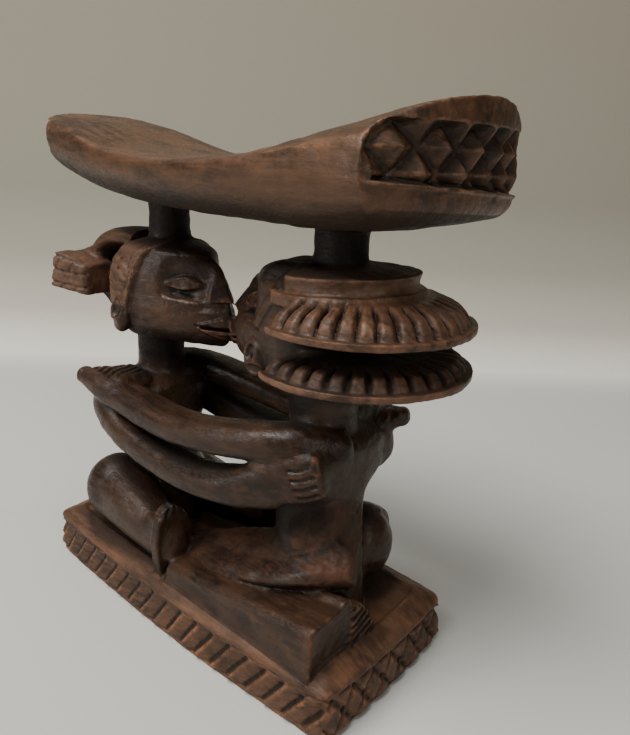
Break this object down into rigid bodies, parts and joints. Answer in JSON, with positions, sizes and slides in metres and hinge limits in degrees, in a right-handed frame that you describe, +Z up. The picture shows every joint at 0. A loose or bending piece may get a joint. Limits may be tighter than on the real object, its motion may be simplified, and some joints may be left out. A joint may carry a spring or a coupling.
{
  "type": "figural headrest",
  "caption": "Carved wooden headrest: a dished pillow held on the heads of two seated, embracing figures above an oblong base with a notched band.",
  "frame": {"origin": "middle of the flat underside of the base", "axes": "+Z up, out of the pillow; X along the pillow and the base, from the left figure at -X to the right figure at +X; Y across"},
  "size_m": [0.158, 0.0678, 0.1654],
  "materials": {
    "base_wood": "dark brown patinated wood, worn reddish on the edges and on the notched band",
    "pillow_wood": "dark brown wood polished by use, satin, with fine scratches",
    "coiffure_wood": "dark reddish-brown wood with crusty recesses and worn ribs",
    "figure_wood": "near-black brown patinated wood with satin ridges"
  },
  "bodies": {
    "root": {"base_plinth": "base_wood", "head_pillow": "pillow_wood", "left_far_arm": "figure_wood", "left_far_foot": "figure_wood", "left_far_hand": "figure_wood", "left_far_shin": "figure_wood", "left_far_thigh": "figure_wood", "left_hair_arch": "coiffure_wood", "left_hair_cap": "coiffure_wood", "left_hair_far_lobe": "coiffure_wood", "left_hair_keel": "coiffure_wood", "left_hair_near_lobe": "coiffure_wood", "left_head": "figure_wood", "left_near_arm": "figure_wood", "left_near_foot": "figure_wood", "left_near_hand": "figure_wood", "left_near_hip": "figure_wood", "left_near_leg": "figure_wood", "left_neck": "figure_wood", "left_post": "figure_wood", "left_torso": "figure_wood", "right_far_arm": "figure_wood", "right_far_foot": "figure_wood", "right_far_hand": "figure_wood", "right_far_hip": "figure_wood", "right_far_leg": "figure_wood", "right_hair_crown": "coiffure_wood", "right_hair_lower_fan": "coiffure_wood", "right_hair_upper_fan": "coiffure_wood", "right_head": "figure_wood", "right_near_arm": "figure_wood", "right_near_foot": "figure_wood", "right_near_hand": "figure_wood", "right_near_shin": "figure_wood", "right_near_thigh": "figure_wood", "right_neck": "figure_wood", "right_post": "figure_wood", "right_torso": "figure_wood"}
  },
  "joints": []
}
